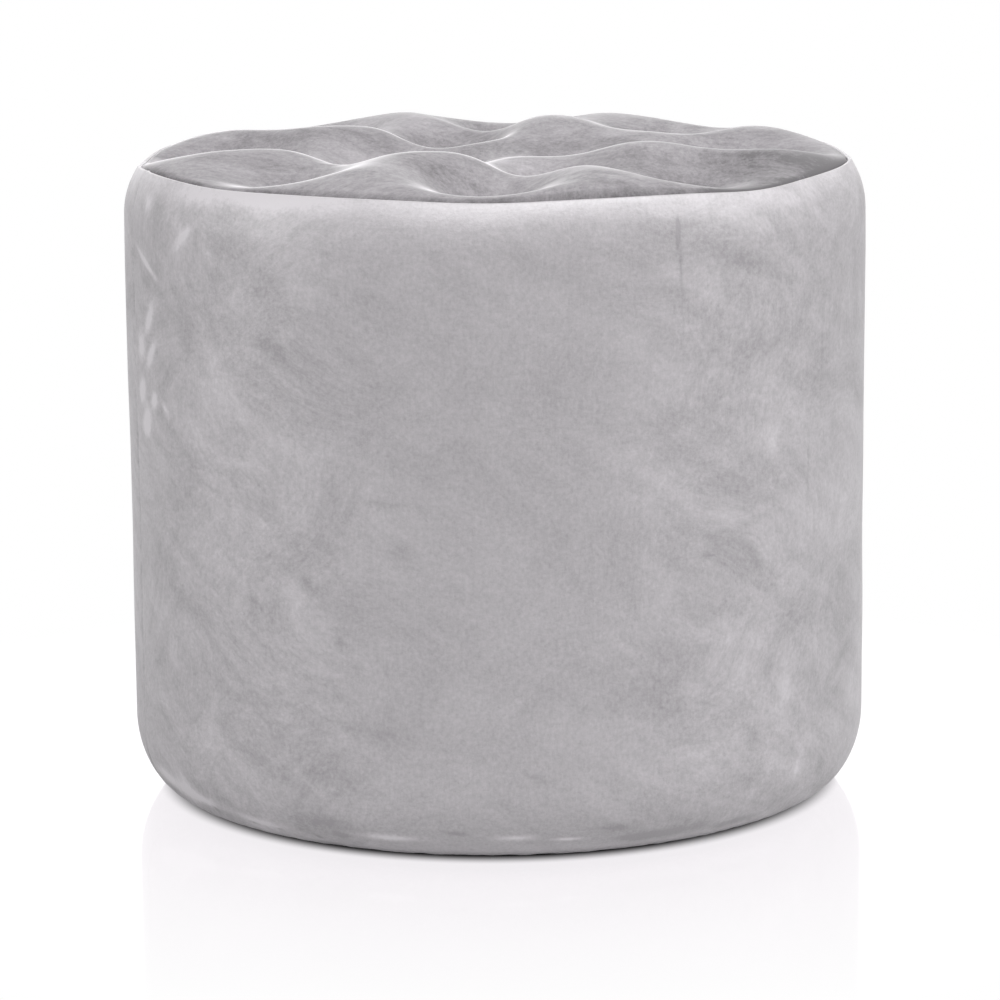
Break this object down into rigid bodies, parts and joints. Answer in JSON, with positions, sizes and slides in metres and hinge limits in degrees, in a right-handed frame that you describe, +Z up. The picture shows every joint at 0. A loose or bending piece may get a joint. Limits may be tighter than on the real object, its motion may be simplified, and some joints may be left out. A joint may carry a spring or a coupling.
{
  "type": "pouf",
  "caption": "Round upholstered pouf: a smooth velvet drum with a rounded base edge and a soft button-tufted round seat, over foam and a board frame.",
  "frame": {"origin": "centre of the footprint on the floor, at the underside of the glides", "axes": "+Z up along the drum's axis; -Y towards the viewer of the picture, so +X is to the right there"},
  "size_m": [0.4, 0.4, 0.3572],
  "materials": {
    "velvet": "matt pile with a soft sheen",
    "foam": "matt",
    "fibreboard": "raw, sanded",
    "pine": "raw, planed",
    "hardboard": "smooth one side",
    "steel": "zinc plated",
    "plastic": "fine moulded",
    "twine": "waxed",
    "lining": "non-woven, matt"
  },
  "bodies": {
    "root": {"side_cover": "velvet", "top_cover": "velvet", "seat_foam": "foam", "side_foam": "foam", "drum_wall": "hardboard", "base_panel": "fibreboard", "deck_panel": "fibreboard", "frame_post_1": "pine", "frame_post_2": "pine", "frame_post_3": "pine", "frame_post_4": "pine", "base_screw_1": "steel", "base_screw_2": "steel", "base_screw_3": "steel", "base_screw_4": "steel", "deck_screw_1": "steel", "deck_screw_2": "steel", "deck_screw_3": "steel", "deck_screw_4": "steel", "dust_cover": "lining", "glide_1": "plastic", "glide_2": "plastic", "glide_3": "plastic", "glide_4": "plastic", "tuft_button_01": "velvet", "tuft_button_02": "velvet", "tuft_button_03": "velvet", "tuft_button_04": "velvet", "tuft_button_05": "velvet", "tuft_button_06": "velvet", "tuft_button_07": "velvet", "tuft_button_08": "velvet", "tuft_button_09": "velvet", "tuft_button_10": "velvet", "tuft_button_11": "velvet", "tuft_button_12": "velvet", "tuft_twine_01": "twine", "tuft_twine_02": "twine", "tuft_twine_03": "twine", "tuft_twine_04": "twine", "tuft_twine_05": "twine", "tuft_twine_06": "twine", "tuft_twine_07": "twine", "tuft_twine_08": "twine", "tuft_twine_09": "twine", "tuft_twine_10": "twine", "tuft_twine_11": "twine", "tuft_twine_12": "twine", "tuft_washer_01": "plastic", "tuft_washer_02": "plastic", "tuft_washer_03": "plastic", "tuft_washer_04": "plastic", "tuft_washer_05": "plastic", "tuft_washer_06": "plastic", "tuft_washer_07": "plastic", "tuft_washer_08": "plastic", "tuft_washer_09": "plastic", "tuft_washer_10": "plastic", "tuft_washer_11": "plastic", "tuft_washer_12": "plastic"}
  },
  "joints": []
}
